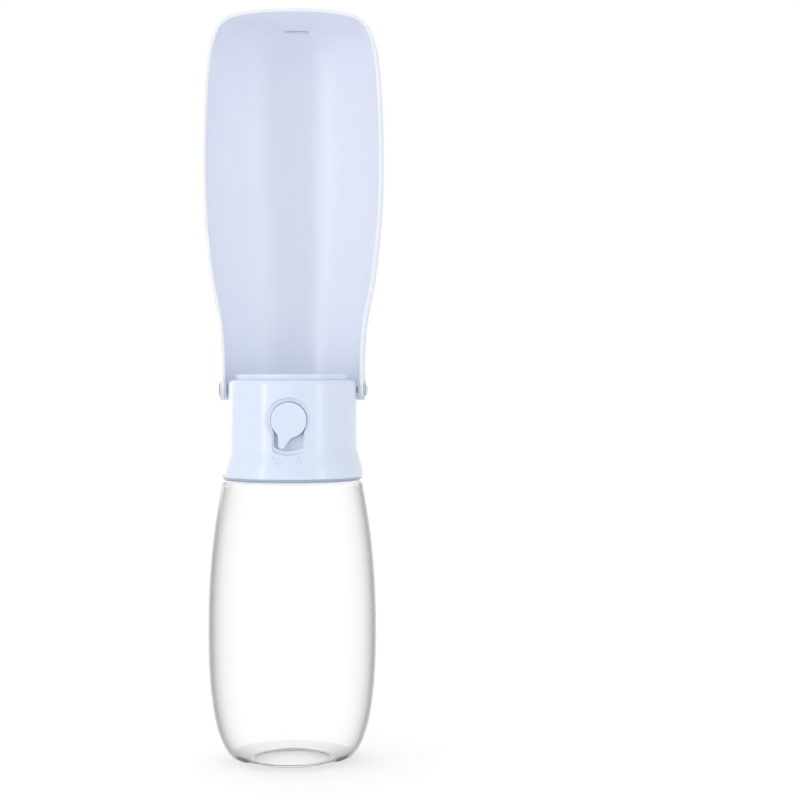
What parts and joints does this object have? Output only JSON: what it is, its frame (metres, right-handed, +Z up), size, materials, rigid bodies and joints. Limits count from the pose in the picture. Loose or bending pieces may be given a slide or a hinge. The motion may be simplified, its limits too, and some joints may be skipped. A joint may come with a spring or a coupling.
{
  "type": "dog travel water bottle",
  "caption": "Clear travel water bottle for a dog with a white head, a push-and-turn lock button and a trough that folds down over the bottle.",
  "frame": {"origin": "middle of the ring that the bottle stands on, at table height", "axes": "+Z up along the bottle, -Y towards the viewer and the button, +Y towards the lanyard loop and the open trough, +X to the viewer's right"},
  "size_m": [0.084, 0.0861, 0.345],
  "materials": {
    "clear_plastic": "clear, polished",
    "white_plastic": "glossy, very pale blue white",
    "inner_plastic": "satin",
    "silicone": "soft, satin",
    "steel": "bright drawn wire and turned heads"
  },
  "bodies": {
    "bottle": {"bottle": "clear_plastic"},
    "gasket": {"neck_gasket": "silicone"},
    "head": {"head_shell": "white_plastic", "thread_collar": "white_plastic", "end_plate": "white_plastic", "end_plate_seal": "silicone", "valve_body": "inner_plastic", "inlet_seal": "silicone", "outlet_seal": "silicone", "stem_seal": "silicone", "seal_retainer": "inner_plastic", "valve_spring": "steel", "valve_end_cap": "inner_plastic", "end_cap_seal": "silicone", "valve_screws": "steel", "hinge_pin_left": "white_plastic", "hinge_pin_right": "white_plastic"},
    "plunger": {"valve_stem": "inner_plastic", "valve_stopper": "silicone", "spring_seat": "steel", "stopper_screw": "steel"},
    "button": {"lock_button": "white_plastic"},
    "trough": {"trough": "white_plastic"}
  },
  "joints": [
    {"name": "head_lift", "type": "slide", "parent": "bottle", "child": "gasket", "axis": [0, 0, 1], "range_m": [0, 0.002]},
    {"name": "head_screw", "type": "hinge", "parent": "gasket", "child": "head", "pos_m": [0, 0, 0.1377], "axis": [0, 0, 1], "range_deg": [0, 240]},
    {"name": "trough_fold", "type": "hinge", "parent": "head", "child": "trough", "pos_m": [0, 0.00285, 0.1696], "axis": [1, 0, 0], "range_deg": [0, 180]},
    {"name": "button_press", "type": "slide", "parent": "head", "child": "plunger", "axis": [0, 1, 0], "range_m": [0, 0.003], "stiffness_N_per_m": 350, "springref_m": -0.0025, "deforming": ["valve_spring"]},
    {"name": "lock_turn", "type": "hinge", "parent": "plunger", "child": "button", "pos_m": [0, -0.0292, 0.1564], "axis": [0, -1, 0], "range_deg": [0, 30]}
  ],
  "couplings": [
    {"joint": "head_lift", "follows": "head_screw", "m_per_rad": 0.00047746}
  ]
}
